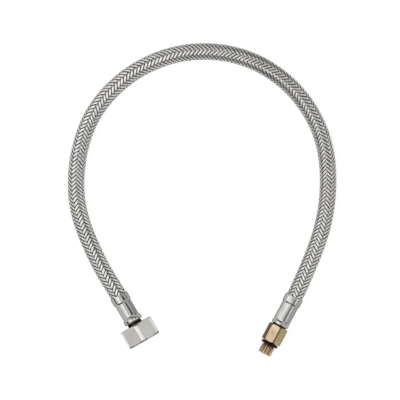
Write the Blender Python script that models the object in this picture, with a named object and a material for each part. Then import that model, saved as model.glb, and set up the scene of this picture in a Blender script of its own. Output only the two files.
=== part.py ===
"""A braided faucet supply hose, lying on the floor in an open loop.

A rubber liner runs in a sleeve of woven steel wire. Each end is crimped by a steel ferrule onto a barbed
tail. The first tail carries a loose half-inch nut with its flat washer, the second is a brass fitting with
a hexagon, an O-ring and an M10 x 1 spigot.

Lengths are in metres and +Z is up. Each end fitting is drawn in its own frame: the origin is the mouth of
the ferrule, +Z runs along the fitting away from the hose, and +Y points up from the floor.
"""

import math

import bmesh
import bpy
import numpy as np
from mathutils import Matrix, Vector

MM = 0.001

# Gap kept between pieces that touch on the real hose
CLEARANCE = 0.3 * MM

# Hose
LINER_BORE_RADIUS = 4.0 * MM
LINER_WALL = 1.0 * MM
BRAID_WALL = 0.6 * MM
BRAID_INSERTION = 3.0 * MM
POINT_SPACING_DIAMETERS = 2
FLOOR_GAP = 0.1 * MM

# Ferrules
FERRULE_LENGTH = 22.5 * MM
FERRULE_WALL = 0.35 * MM
CRIMP_JAWS = 8
CRIMP_CORNER_RISE = 0.4 * MM
COLLAR_LENGTH = 5.2 * MM
COLLAR_CORNER_RISE = 0.15 * MM
CRIMP_RAMP = 1.0 * MM
RIM_LENGTH = 2.6 * MM
RIM_ROUNDING = 0.5 * MM
NUT_FERRULE_RIM_RADIUS = 6.85 * MM
NUT_CRIMP_TURN = -14.5
SPIGOT_FERRULE_RIM_RADIUS = 6.35 * MM
SPIGOT_CRIMP_TURN = -9.7

# Barbed tails
WATERWAY_RADIUS = 2.75 * MM
BARB_DEPTH = 0.45 * MM
BARB_PITCH = 3.4 * MM
BARB_COUNT = 5
TAIL_INSET = 1.5 * MM

# Half-inch swivel nut
NUT_ACROSS_FLATS = 24.0 * MM
NUT_LENGTH = 13.5 * MM
NUT_CORNER_FLAT = 2.1 * MM
NUT_END_FACE_RADIUS = 11.5 * MM
NUT_STANDOFF = 1.5 * MM
NUT_BACK_WALL = 2.2 * MM
NUT_THREAD_RADIUS = 10.48 * MM
NUT_ENTRY_CHAMFER = 0.5 * MM
NUT_TURN = 0.0
END_CHAMFER_ANGLE = 30.0

# Tail that holds the nut, and its washer
SHANK_RADIUS = 5.3 * MM
FLANGE_RADIUS = 9.1 * MM
FLANGE_THICKNESS = 1.8 * MM
WASHER_RADIUS = 9.2 * MM
WASHER_HOLE_RADIUS = 5.2 * MM
WASHER_THICKNESS = 2.0 * MM

# Spigot fitting
HEX_ACROSS_FLATS = 13.0 * MM
HEX_LENGTH = 13.0 * MM
HEX_CORNER_FLAT = 0.4 * MM
HEX_END_FACE_RADIUS = 6.25 * MM
HEX_STANDOFF = 1.4 * MM
HEX_TURN = -16.5
SPIGOT_RADIUS = 5.0 * MM
SPIGOT_LENGTH = 9.6 * MM
SPIGOT_TIP_CHAMFER = 0.8 * MM
O_RING_SEAT_RADIUS = 4.0 * MM
O_RING_SECTION = 2.1 * MM

# Lie of the hose on the floor, seen from above: where each ferrule's mouth is and where its fitting points
NUT_END_AT = (-50.2 * MM, 46.5 * MM)
NUT_END_HEADING = 270.0
SPIGOT_END_AT = (58.7 * MM, -18.2 * MM)
SPIGOT_END_HEADING = 211.75

# Points of the route between the two ferrules, in millimetres: x, y and the height above lying flat
ROUTE = [
    (-50.6, 67.7, 6.2),
    (-49.5, 85.4, 4.5),
    (-47.2, 102.1, 2.8),
    (-42.8, 118.0, 1.4),
    (-35.7, 132.6, 0.5),
    (-26.5, 145.7, 0.1),
    (-15.6, 157.3, 0.0),
    (-3.2, 166.9, 0.0),
    (10.7, 173.8, 0.0),
    (25.7, 178.1, 0.0),
    (40.9, 180.0, 0.0),
    (56.1, 179.3, 0.0),
    (71.1, 176.3, 0.0),
    (85.3, 170.8, 0.0),
    (98.4, 163.1, 0.0),
    (110.0, 153.4, 0.0),
    (119.8, 141.8, 0.0),
    (127.4, 128.5, 0.0),
    (132.7, 114.1, 0.0),
    (135.4, 99.0, 0.0),
    (135.6, 83.5, 0.0),
    (133.1, 68.2, 0.0),
    (127.9, 53.6, 0.0),
    (120.5, 39.7, 0.1),
    (111.4, 26.5, 0.4),
    (100.4, 14.2, 0.8),
    (87.5, 2.8, 1.2),
    (73.0, -8.2, 1.4),
]

# Facets round a turned piece, and along a rounded edge
TURNED_SIDES = 48
FERRULE_SIDES = 6 * CRIMP_JAWS
RING_SIDES = 12
SHARP_ANGLE = 25.0

# Sizes that follow from those above
LINER_RADIUS = LINER_BORE_RADIUS + LINER_WALL
BRAID_RADIUS = LINER_RADIUS + CLEARANCE + BRAID_WALL
HOSE_HEIGHT = BRAID_RADIUS + FLOOR_GAP
COLLAR_FLAT_RADIUS = BRAID_RADIUS + CLEARANCE + FERRULE_WALL
CRIMP_FLAT_RADIUS = LINER_RADIUS + CLEARANCE + FERRULE_WALL
NECK_RADIUS = LINER_BORE_RADIUS - CLEARANCE
FERRULE_HOLE_RADIUS = NECK_RADIUS + CLEARANCE
FERRULE_FLOOR = FERRULE_LENGTH - FERRULE_WALL
LINER_END = FERRULE_FLOOR - CLEARANCE
SHOULDER = FERRULE_LENGTH + CLEARANCE
NUT_BACK = FERRULE_LENGTH + NUT_STANDOFF
NUT_SHOULDER = NUT_BACK + NUT_BACK_WALL
NUT_MOUTH = NUT_BACK + NUT_LENGTH
FLANGE_BACK = NUT_SHOULDER + CLEARANCE
FLANGE_FACE = FLANGE_BACK + FLANGE_THICKNESS
WASHER_BACK = FLANGE_FACE + CLEARANCE
HEX_BACK = FERRULE_LENGTH + HEX_STANDOFF
HEX_FACE = HEX_BACK + HEX_LENGTH
O_RING_RADIUS = O_RING_SEAT_RADIUS + CLEARANCE + O_RING_SECTION / 2
O_RING_CENTRE = HEX_FACE + CLEARANCE + O_RING_SECTION / 2
SPIGOT_THREAD_START = O_RING_CENTRE + O_RING_SECTION / 2 + CLEARANCE
SPIGOT_TIP = HEX_FACE + SPIGOT_LENGTH


# Scene and materials


def clear_scene():
    for obj in list(bpy.data.objects):
        bpy.data.objects.remove(obj, do_unlink=True)


def make_material(name, colour, metallic, roughness):
    material = bpy.data.materials.new(name)
    material.use_nodes = True
    shader = material.node_tree.nodes["Principled BSDF"]
    shader.inputs["Base Color"].default_value = (*colour, 1.0)
    shader.inputs["Metallic"].default_value = metallic
    shader.inputs["Roughness"].default_value = roughness
    material.diffuse_color = (*colour, 1.0)
    return material


def place(name, data, material, parent=None):
    obj = bpy.data.objects.new(name, data)
    bpy.context.scene.collection.objects.link(obj)
    obj.parent = parent
    if material is not None:
        data.materials.append(material)
    return obj


def as_cutter(obj):
    obj.hide_render = True
    obj.display_type = "WIRE"
    return obj


def add_boolean(obj, operation, other):
    modifier = obj.modifiers.new(operation.lower(), "BOOLEAN")
    modifier.operation = operation
    modifier.solver = "EXACT"
    modifier.object = other


# Round, crimped and hexagonal bodies


def mesh_from(name, bm, smooth=True):
    bmesh.ops.recalc_face_normals(bm, faces=bm.faces)
    mesh = bpy.data.meshes.new(name)
    bm.to_mesh(mesh)
    bm.free()
    if smooth:
        mesh.shade_smooth()
        mesh.set_sharp_from_angle(angle=math.radians(SHARP_ANGLE))
    return mesh


def ring_body(name, rings):
    """A closed body whose section at each turn is one loop: ring i joins ring i + 1, and the last the first."""
    bm = bmesh.new()
    rows = [[bm.verts.new(point) for point in ring] for ring in rings]
    for row, following in zip(rows, rows[1:] + rows[:1]):
        for i, _ in enumerate(row):
            j = (i + 1) % len(row)
            bm.faces.new((row[i], row[j], following[j], following[i]))
    return mesh_from(name, bm)


def turned(name, profile, sides=TURNED_SIDES):
    """A ring turned from the closed outline `profile`, a list of (radius, z)."""
    angles = [2 * math.pi * i / sides for i in range(sides)]
    rings = [[(r * math.cos(a), r * math.sin(a), z) for a in angles] for r, z in profile]
    return ring_body(name, rings)


def turned_solid(name, profile, sides=TURNED_SIDES):
    """A solid bar turned from `profile`, a list of (radius, z) from one end face to the other."""
    bm = bmesh.new()
    rows = []
    for radius, z in profile:
        made = bmesh.ops.create_circle(bm, segments=sides, radius=radius, matrix=Matrix.Translation((0, 0, z)))
        rows.append(made["verts"])
    for row, following in zip(rows, rows[1:]):
        for i in range(sides):
            j = (i + 1) % sides
            bm.faces.new((row[i], row[j], following[j], following[i]))
    bm.faces.new(rows[0])
    bm.faces.new(rows[-1])
    return mesh_from(name, bm)


def facet_radius(angle, facets, flat_radius, corner_radius):
    """Distance to the wall of a round bar pressed flat by `facets` jaws, the first one facing angle 0."""
    step = 2 * math.pi / facets
    off_centre = (angle + step / 2) % step - step / 2
    return min(corner_radius, flat_radius / math.cos(off_centre))


def crimped_ring(z, flat_radius, corner_radius, turn):
    """One section of a ferrule. Its first facet faces up, turned by `turn` degrees towards +X."""
    points = []
    for i in range(FERRULE_SIDES):
        angle = 2 * math.pi * i / FERRULE_SIDES
        radius = facet_radius(angle, CRIMP_JAWS, flat_radius, corner_radius)
        facing = math.radians(turn) + angle
        points.append((radius * math.sin(facing), radius * math.cos(facing), z))
    return points


def hexagon_bar(name, across_flats, corner_flat, start, end, turn):
    """A hexagonal bar with its corners cut to narrow flats. At turn 0 a corner faces up."""
    bm = bmesh.new()
    radius = across_flats / math.sqrt(3)
    middle = Matrix.Translation((0, 0, (start + end) / 2))
    facing = Matrix.Rotation(math.radians(90 - turn), 4, "Z")
    bmesh.ops.create_cone(
        bm, cap_ends=True, segments=6, radius1=radius, radius2=radius, depth=end - start, matrix=middle
    )
    # The primitive's first corner is on +Y, so the bar is turned to put a corner there at turn 0.
    first = max(bm.verts, key=lambda vert: vert.co.y).co
    to_corner = math.atan2(first.y, first.x)
    bmesh.ops.rotate(bm, verts=bm.verts, matrix=facing @ Matrix.Rotation(-to_corner, 4, "Z"))
    uprights = [edge for edge in bm.edges if abs((edge.verts[0].co - edge.verts[1].co).z) > 0.5 * (end - start)]
    bmesh.ops.bevel(
        bm, geom=uprights, offset=corner_flat, offset_type="WIDTH", segments=1, profile=0.5, affect="EDGES"
    )
    return mesh_from(name, bm, smooth=False)


def chamfer_blank(name, across_flats, end_face_radius, start, end):
    """The turned bar that a hexagon is cut from, with both of its ends chamfered."""
    outer = 0.6 * across_flats
    depth = (outer - end_face_radius) * math.tan(math.radians(END_CHAMFER_ANGLE))
    profile = [(end_face_radius, start), (outer, start + depth), (outer, end - depth), (end_face_radius, end)]
    return turned_solid(name, profile)


def corner_reach(across_flats, corner_flat, degrees_from_corner):
    """How far a hexagon with cut corners reaches in a direction this many degrees from one of its corners."""
    flat_distance = across_flats / math.sqrt(3) - corner_flat / 2 / math.tan(math.radians(60))
    off = math.radians(abs(degrees_from_corner))
    return flat_distance * math.cos(off) + corner_flat / 2 * math.sin(off)


# End frames


def end_frame(name, at, heading, height):
    """The empty that an end fitting hangs from: +Z along the heading and +Y up."""
    frame = bpy.data.objects.new(name, None)
    frame.empty_display_size = 10 * MM
    frame.location = (*at, height)
    frame.rotation_euler = (math.radians(90), 0, math.radians(heading + 90))
    bpy.context.scene.collection.objects.link(frame)
    return frame


def along(heading):
    return Vector((math.cos(math.radians(heading)), math.sin(math.radians(heading)), 0))


NUT_AXIS_HEIGHT = corner_reach(NUT_ACROSS_FLATS, NUT_CORNER_FLAT, NUT_TURN)
HEX_AXIS_HEIGHT = corner_reach(HEX_ACROSS_FLATS, HEX_CORNER_FLAT, 30 - abs(HEX_TURN))


# Hose


def smooth_curve(points, start_slope, end_slope, samples=40):
    """Points along the cubic spline through `points` that leaves and arrives in the two given directions."""
    points = np.array(points)
    spans = np.linalg.norm(np.diff(points, axis=0), axis=1)
    count = len(points)
    system = np.eye(count)
    slopes = np.zeros((count, 3))
    slopes[0] = start_slope
    slopes[-1] = end_slope
    steps = np.diff(points, axis=0) / spans[:, None]
    for i in range(1, count - 1):
        before, after = spans[i - 1], spans[i]
        system[i, i - 1 : i + 2] = (1 / before, 2 / before + 2 / after, 1 / after)
        slopes[i] = 3 * (steps[i - 1] / before + steps[i] / after)
    slopes = np.linalg.solve(system, slopes)
    curve = [points[0]]
    for i, span in enumerate(spans):
        for t in np.arange(1, samples + 1) / samples:
            from_start = (2 * t**3 - 3 * t**2 + 1) * points[i] + (t**3 - 2 * t**2 + t) * span * slopes[i]
            from_end = (3 * t**2 - 2 * t**3) * points[i + 1] + (t**3 - t**2) * span * slopes[i + 1]
            curve.append(from_start + from_end)
    return np.array(curve)


def evenly_spaced(curve, spacing):
    travelled = np.concatenate([[0], np.cumsum(np.linalg.norm(np.diff(curve, axis=0), axis=1))])
    steps = round(travelled[-1] / spacing)
    places = np.linspace(0, travelled[-1], steps + 1)
    return np.column_stack([np.interp(places, travelled, curve[:, axis]) for axis in range(3)])


def free_route():
    """The centre line from one ferrule's mouth to the other's."""
    start = Vector((*NUT_END_AT, NUT_AXIS_HEIGHT))
    end = Vector((*SPIGOT_END_AT, HEX_AXIS_HEIGHT))
    lying = [(x * MM, y * MM, HOSE_HEIGHT + lift * MM) for x, y, lift in ROUTE]
    curve = smooth_curve([start, *lying, end], -along(NUT_END_HEADING), along(SPIGOT_END_HEADING))
    return evenly_spaced(curve, POINT_SPACING_DIAMETERS * 2 * BRAID_RADIUS)


def hose_tube(name, outer_radius, wall, depth_in_ferrule, material):
    """One tube of the hose, reaching the same depth into both ferrules."""
    route = free_route()
    into_nut_end = Vector(route[0]) + along(NUT_END_HEADING) * depth_in_ferrule
    into_spigot_end = Vector(route[-1]) + along(SPIGOT_END_HEADING) * depth_in_ferrule
    points = [into_nut_end, *route, into_spigot_end]
    curve = bpy.data.curves.new(name, "CURVE")
    curve.dimensions = "3D"
    curve.bevel_depth = outer_radius
    curve.bevel_resolution = 4
    curve.use_fill_caps = False
    spline = curve.splines.new("POLY")
    spline.points.add(len(points) - 1)
    for spline_point, point in zip(spline.points, points):
        spline_point.co = (*point, 1.0)
    tube = place(name, curve, material)
    bore = tube.modifiers.new("bore", "SOLIDIFY")
    bore.thickness = wall
    bore.offset = -1
    return tube


# Crimped ferrules


def ferrule(name, rim_radius, turn, material, parent):
    """A thin steel cup: a collar over the braid, a crimped waist, a round rim and a floor with a hole."""
    collar = (COLLAR_FLAT_RADIUS, COLLAR_FLAT_RADIUS + COLLAR_CORNER_RISE)
    waist = (CRIMP_FLAT_RADIUS, CRIMP_FLAT_RADIUS + CRIMP_CORNER_RISE)
    rim = (rim_radius, rim_radius)
    edge = (rim_radius - RIM_ROUNDING, rim_radius - RIM_ROUNDING)
    rim_start = FERRULE_LENGTH - RIM_LENGTH
    outside = [
        (0, collar),
        (COLLAR_LENGTH, collar),
        (COLLAR_LENGTH + CRIMP_RAMP, waist),
        (rim_start - CRIMP_RAMP, waist),
        (rim_start, rim),
        (FERRULE_LENGTH - RIM_ROUNDING, rim),
        (FERRULE_LENGTH, edge),
    ]
    hole = (FERRULE_HOLE_RADIUS, FERRULE_HOLE_RADIUS)
    rings = [crimped_ring(z, *radii, turn) for z, radii in outside]
    rings.append(crimped_ring(FERRULE_LENGTH, *hole, turn))
    rings.append(crimped_ring(FERRULE_FLOOR, *hole, turn))
    for z, (flat, corner) in reversed(outside):
        inner_z = min(z, FERRULE_FLOOR)
        rings.append(crimped_ring(inner_z, flat - FERRULE_WALL, corner - FERRULE_WALL, turn))
    return place(name, ring_body(name, rings), material, parent)


# Barbed tails


def barbs():
    """Outline of the barbs and the plain neck behind them, from the tip to the shoulder."""
    outline = []
    for i in range(BARB_COUNT):
        start = TAIL_INSET + i * BARB_PITCH
        outline.append((NECK_RADIUS - BARB_DEPTH, start))
        outline.append((NECK_RADIUS, start + 0.8 * BARB_PITCH))
    outline.append((NECK_RADIUS, SHOULDER))
    return outline


def nut_tail(material, parent):
    outline = barbs()
    outline += [
        (SHANK_RADIUS, SHOULDER),
        (SHANK_RADIUS, FLANGE_BACK),
        (FLANGE_RADIUS, FLANGE_BACK),
        (FLANGE_RADIUS, FLANGE_FACE),
        (WATERWAY_RADIUS, FLANGE_FACE),
        (WATERWAY_RADIUS, TAIL_INSET),
    ]
    return place("nut_tail", turned("nut_tail", outline), material, parent)


# Swivel nut and washer


def swivel_nut(material, parent):
    overlength = 1 * MM
    bar = hexagon_bar(
        "swivel_nut", NUT_ACROSS_FLATS, NUT_CORNER_FLAT, NUT_BACK - overlength, NUT_MOUTH + overlength, NUT_TURN
    )
    nut = place("swivel_nut", bar, material, parent)
    blank = chamfer_blank("nut_blank", NUT_ACROSS_FLATS, NUT_END_FACE_RADIUS, NUT_BACK, NUT_MOUTH)
    hole_radius = SHANK_RADIUS + CLEARANCE
    entry_radius = NUT_THREAD_RADIUS + NUT_ENTRY_CHAMFER
    socket = [
        (hole_radius, NUT_BACK - overlength),
        (hole_radius, NUT_SHOULDER),
        (NUT_THREAD_RADIUS, NUT_SHOULDER),
        (NUT_THREAD_RADIUS, NUT_MOUTH - NUT_ENTRY_CHAMFER),
        (entry_radius, NUT_MOUTH),
        (entry_radius, NUT_MOUTH + overlength),
    ]
    add_boolean(nut, "INTERSECT", as_cutter(place("nut_blank", blank, None, parent)))
    cutter = turned_solid("nut_socket_cutter", socket)
    add_boolean(nut, "DIFFERENCE", as_cutter(place("nut_socket_cutter", cutter, None, parent)))
    return nut


def sealing_washer(material, parent):
    front = WASHER_BACK + WASHER_THICKNESS
    outline = [
        (WASHER_HOLE_RADIUS, WASHER_BACK),
        (WASHER_RADIUS, WASHER_BACK),
        (WASHER_RADIUS, front),
        (WASHER_HOLE_RADIUS, front),
    ]
    return place("sealing_washer", turned("sealing_washer", outline), material, parent)


# Spigot fitting and O-ring


def spigot_fitting(material, parent):
    overlength = 1 * MM
    bar = hexagon_bar(
        "spigot_fitting", HEX_ACROSS_FLATS, HEX_CORNER_FLAT, HEX_BACK - overlength, HEX_FACE + overlength,
        HEX_TURN + 30,
    )
    fitting = place("spigot_fitting", bar, material, parent)
    blank = chamfer_blank("hexagon_blank", HEX_ACROSS_FLATS, HEX_END_FACE_RADIUS, HEX_BACK, HEX_FACE)
    core = barbs()
    core += [
        (SHANK_RADIUS, SHOULDER),
        (SHANK_RADIUS, (HEX_BACK + HEX_FACE) / 2),
        (O_RING_SEAT_RADIUS, (HEX_BACK + HEX_FACE) / 2),
        (O_RING_SEAT_RADIUS, SPIGOT_THREAD_START),
        (SPIGOT_RADIUS, SPIGOT_THREAD_START),
        (SPIGOT_RADIUS, SPIGOT_TIP - SPIGOT_TIP_CHAMFER),
        (SPIGOT_RADIUS - SPIGOT_TIP_CHAMFER, SPIGOT_TIP),
    ]
    waterway = [(WATERWAY_RADIUS, TAIL_INSET - overlength), (WATERWAY_RADIUS, SPIGOT_TIP + overlength)]
    add_boolean(fitting, "INTERSECT", as_cutter(place("hexagon_blank", blank, None, parent)))
    stem = turned_solid("spigot_stem", core)
    add_boolean(fitting, "UNION", as_cutter(place("spigot_stem", stem, None, parent)))
    cutter = turned_solid("waterway_cutter", waterway)
    add_boolean(fitting, "DIFFERENCE", as_cutter(place("waterway_cutter", cutter, None, parent)))
    return fitting


def spigot_o_ring(material, parent):
    outline = []
    for i in range(RING_SIDES):
        angle = 2 * math.pi * i / RING_SIDES
        radius = O_RING_RADIUS + O_RING_SECTION / 2 * math.cos(angle)
        outline.append((radius, O_RING_CENTRE + O_RING_SECTION / 2 * math.sin(angle)))
    return place("spigot_o_ring", turned("spigot_o_ring", outline), material, parent)


def main():
    clear_scene()
    steel = make_material("braid_steel", (0.56, 0.56, 0.55), 1.0, 0.35)
    ferrule_steel = make_material("ferrule_steel", (0.70, 0.69, 0.67), 1.0, 0.22)
    nickel = make_material("satin_nickel", (0.60, 0.59, 0.55), 1.0, 0.3)
    brass = make_material("brass", (0.62, 0.46, 0.28), 1.0, 0.3)
    liner_rubber = make_material("liner_rubber", (0.03, 0.03, 0.03), 0.0, 0.6)
    seal_rubber = make_material("seal_rubber", (0.02, 0.018, 0.015), 0.0, 0.45)

    nut_end = end_frame("nut_end", NUT_END_AT, NUT_END_HEADING, NUT_AXIS_HEIGHT)
    spigot_end = end_frame("spigot_end", SPIGOT_END_AT, SPIGOT_END_HEADING, HEX_AXIS_HEIGHT)

    hose_tube("hose_liner", LINER_RADIUS, LINER_WALL, LINER_END, liner_rubber)
    hose_tube("wire_braid", BRAID_RADIUS, BRAID_WALL, BRAID_INSERTION, steel)
    ferrule("nut_ferrule", NUT_FERRULE_RIM_RADIUS, NUT_CRIMP_TURN, ferrule_steel, nut_end)
    ferrule("spigot_ferrule", SPIGOT_FERRULE_RIM_RADIUS, SPIGOT_CRIMP_TURN, ferrule_steel, spigot_end)
    nut_tail(brass, nut_end)
    swivel_nut(nickel, nut_end)
    sealing_washer(seal_rubber, nut_end)
    spigot_fitting(brass, spigot_end)
    spigot_o_ring(seal_rubber, spigot_end)


main()
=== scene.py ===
"""Looks of a braided faucet supply hose lying on a white floor.

Woven wire over a rubber liner, a crimped steel ferrule at each end, a loose satin nut at one end and a
threaded brass spigot at the other. Lengths below are in millimetres unless a name says otherwise.
"""

import math

import bmesh
import bpy
import numpy as np
from mathutils import Matrix, Vector


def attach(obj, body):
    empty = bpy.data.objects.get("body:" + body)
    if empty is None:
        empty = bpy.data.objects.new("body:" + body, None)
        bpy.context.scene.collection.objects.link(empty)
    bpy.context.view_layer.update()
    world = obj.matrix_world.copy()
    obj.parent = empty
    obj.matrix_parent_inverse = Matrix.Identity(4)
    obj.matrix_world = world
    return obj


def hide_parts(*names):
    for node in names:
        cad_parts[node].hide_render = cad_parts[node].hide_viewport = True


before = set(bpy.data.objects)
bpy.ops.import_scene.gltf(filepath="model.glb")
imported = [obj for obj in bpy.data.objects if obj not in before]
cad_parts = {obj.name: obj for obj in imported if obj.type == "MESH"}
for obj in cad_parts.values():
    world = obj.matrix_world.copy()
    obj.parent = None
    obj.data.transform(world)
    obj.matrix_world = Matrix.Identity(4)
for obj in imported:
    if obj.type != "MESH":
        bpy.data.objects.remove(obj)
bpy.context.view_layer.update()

MM = 0.001

# Hose
HOSE_HEIGHT = 6.0
BRAID_INSERTION = 3.0
LINER_BORE = 4.0
LINER_OUTSIDE = 5.2
LINER_INSERTION = 21.85

# Weave: twelve strands each way, each over three and under three
STRANDS = 12
STRAND_STEP = 2.93
WIRES = 7
STRAND_WIDTH = 0.74
WEAVE_RADIUS = 5.70
WEAVE_RISE = 0.165
WIRE_TOP = 0.125
WIRE_VALLEY = 0.045
STRAND_EDGE = -0.10

# Ends of the hose, seen from above
NUT_END = (-50.2, 46.5, 13.2502)
NUT_HEADING = 270.0
SPIGOT_END = (58.7, -18.2, 7.2326)
SPIGOT_HEADING = 211.75

# Ferrules. Distances along the axis count from the ferrule's mouth, here and for all end pieces below.
FERRULE_WALL = 0.35
JAWS = 8
COLLAR_RADIUS, COLLAR_RIDGE, COLLAR_END = 6.68, 0.08, 5.2
WAIST_RADIUS, WAIST_RIDGE, WAIST_START = 6.02, 0.14, 6.1
GROOVE_DEPTH = 0.25
GROOVE_BEFORE_RIM = 1.0
WAIST_BEFORE_RIM = 1.9
FERRULE_HOLE = 4.0

# Barbed tails
BORE = 2.75
BARBS = 5
BARB_START, BARB_PITCH, BARB_LENGTH = 1.5, 3.4, 2.72
BARB_LOW, BARB_HIGH = 3.25, 3.7
SHANK_RADIUS = 5.3
NUT_TAIL_SHOULDER = 21.9
FLANGE_START, FLANGE_END, FLANGE_RADIUS = 26.5, 28.3, 9.1

# Swivel nut, with a G 1/2 thread
NUT_ACROSS_FLATS = 24.0
NUT_CORNER_FLAT, NUT_CORNER_FILLET = 2.1, 0.9
NUT_FIRST_CORNER = 90.0
NUT_BACK, NUT_SHOULDER, NUT_THREAD_END, NUT_MOUTH = 24.0, 26.2, 30.9, 37.5
NUT_FACE_RADIUS = 11.5
NUT_HOLE = 5.6
NUT_THREAD_ROOT, NUT_ENTRY, NUT_THREAD_PITCH = 10.48, 10.98, 1.814
WASHER_RADII, WASHER_FACES, WASHER_FILLET = (5.2, 9.2), (28.6, 30.6), 0.35

# Spigot fitting, with an M10 x 1 thread
HEX_ACROSS_FLATS = 13.0
HEX_CORNER_FLAT, HEX_CORNER_FILLET = 0.4, 0.55
HEX_FIRST_CORNER = 90.0 - 13.5
SPIGOT_SHOULDER, HEX_BACK, HEX_FRONT, SEAT_END, SPIGOT_TIP = 23.25, 23.9, 36.9, 39.6, 46.5
HEX_FACE_RADIUS = 6.25
SEAT_RADIUS, THREAD_LEAD_RADIUS, TIP_RADIUS = 4.0, 4.25, 4.2
SPIGOT_THREAD_PITCH = 1.0
O_RING_RADIUS, O_RING_SECTION, O_RING_PLACE = 5.35, 1.05, 38.25

CHAMFER_SLOPE = math.tan(math.radians(30))

# Turn of the picture against the frame, as the studio's directions use it
PICTURE_TURN = 30.8

# Route between the two ferrules: x, y and the height above lying flat
ROUTE = [
    (-50.6, 67.7, 6.2), (-49.5, 85.4, 4.5), (-47.2, 102.1, 2.8), (-42.8, 118.0, 1.4),
    (-35.7, 132.6, 0.5), (-26.5, 145.7, 0.1), (-15.6, 157.3, 0.0), (-3.2, 166.9, 0.0),
    (10.7, 173.8, 0.0), (25.7, 178.1, 0.0), (40.9, 180.0, 0.0), (56.1, 179.3, 0.0),
    (71.1, 176.3, 0.0), (85.3, 170.8, 0.0), (98.4, 163.1, 0.0), (110.0, 153.4, 0.0),
    (119.8, 141.8, 0.0), (127.4, 128.5, 0.0), (132.7, 114.1, 0.0), (135.4, 99.0, 0.0),
    (135.6, 83.5, 0.0), (133.1, 68.2, 0.0), (127.9, 53.6, 0.0), (120.5, 39.7, 0.1),
    (111.4, 26.5, 0.4), (100.4, 14.2, 0.8), (87.5, 2.8, 1.2), (73.0, -8.2, 1.4),
]

# How far the weave is turned round the hose, in degrees, at distances along it
WEAVE_TURN = [
    (-5, 54), (53, 55), (79, 40), (118, 30), (157, 10), (209, 13), (261, 17), (312, -14), (338, -12),
    (390, 1), (442, 12), (475, 14),
]


# Camera


def add_camera():
    """Straight above the hose, turned as the picture is, with a long lens."""
    distance = 2600.0
    frame_width = 288.5
    data = bpy.data.cameras.new("camera")
    data.sensor_width = 36.0
    data.lens = data.sensor_width * distance / frame_width
    data.clip_start = 0.01
    data.clip_end = 100.0
    camera = bpy.data.objects.new("camera", data)
    bpy.context.scene.collection.objects.link(camera)
    camera.location = (35.03 * MM, 76.44 * MM, (HOSE_HEIGHT + distance) * MM)
    camera.rotation_euler = (0, 0, math.radians(-30.23))
    bpy.context.scene.camera = camera


add_camera()


# Route of the hose


def along(heading):
    return np.array((math.cos(math.radians(heading)), math.sin(math.radians(heading)), 0.0))


def smooth_curve(points, start_slope, end_slope, samples=40):
    """Points along the cubic spline through `points` that leaves and arrives in the two given directions."""
    points = np.array(points)
    spans = np.linalg.norm(np.diff(points, axis=0), axis=1)
    count = len(points)
    system = np.eye(count)
    slopes = np.zeros((count, 3))
    slopes[0] = start_slope
    slopes[-1] = end_slope
    steps = np.diff(points, axis=0) / spans[:, None]
    for i in range(1, count - 1):
        before, after = spans[i - 1], spans[i]
        system[i, i - 1 : i + 2] = (1 / before, 2 / before + 2 / after, 1 / after)
        slopes[i] = 3 * (steps[i - 1] / before + steps[i] / after)
    slopes = np.linalg.solve(system, slopes)
    curve = [points[0]]
    for i, span in enumerate(spans):
        for t in np.arange(1, samples + 1) / samples:
            from_start = (2 * t**3 - 3 * t**2 + 1) * points[i] + (t**3 - 2 * t**2 + t) * span * slopes[i]
            from_end = (3 * t**2 - 2 * t**3) * points[i + 1] + (t**3 - t**2) * span * slopes[i + 1]
            curve.append(from_start + from_end)
    return np.array(curve)


class Route:
    """The centre line with the directions across it, at any distance from the nut ferrule's mouth."""

    def __init__(self):
        lying = [(x, y, HOSE_HEIGHT + lift) for x, y, lift in ROUTE]
        out, home = along(NUT_HEADING), along(SPIGOT_HEADING)
        curve = smooth_curve([NUT_END, *lying, SPIGOT_END], -out, home)
        steps = np.linalg.norm(np.diff(curve, axis=0), axis=1)
        self.length = float(steps.sum())
        places = np.concatenate([[-30.0], np.concatenate([[0], np.cumsum(steps)]), [self.length + 30.0]])
        line = np.vstack([curve[0] + 30 * out, curve, curve[-1] + 30 * home])
        self.places = np.arange(-29.0, self.length + 29.0, 0.5)
        self.line = np.column_stack([np.interp(self.places, places, line[:, k]) for k in range(3)])
        ahead = np.gradient(self.line, axis=0)
        ahead /= np.linalg.norm(ahead, axis=1)[:, None]
        up = np.array((0, 0, 1.0)) - ahead * ahead[:, 2:3]
        up /= np.linalg.norm(up, axis=1)[:, None]
        self.up = up
        self.right = np.cross(ahead, up)

    def at(self, distance, values):
        return np.stack([np.interp(distance, self.places, values[:, k]) for k in range(3)], axis=-1)

    def around(self, distance, angle, radius):
        """Points at this angle from the top of the hose, towards the right of its way."""
        across = np.cos(angle)[..., None] * self.at(distance, self.up)
        across = across + np.sin(angle)[..., None] * self.at(distance, self.right)
        return self.at(distance, self.line) + radius[..., None] * across


route = Route()


# Meshes


def grid_faces(rows, columns, wrap_columns=True, wrap_rows=False, shift=0):
    """Quads of a grid. With a shift, the last column joins the first one that many rows further on."""
    faces = []
    for r in range(rows if wrap_rows else rows - 1):
        for c in range(columns if wrap_columns else columns - 1):
            following = (c + 1) % columns
            jump = shift if following == 0 else 0
            low, high = r + jump, r + 1 + jump
            if wrap_rows:
                low, high = low % rows, high % rows
            elif high > rows - 1:
                continue
            top = (r + 1) % rows
            faces.append((r * columns + c, low * columns + following, high * columns + following, top * columns + c))
    return faces


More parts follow.
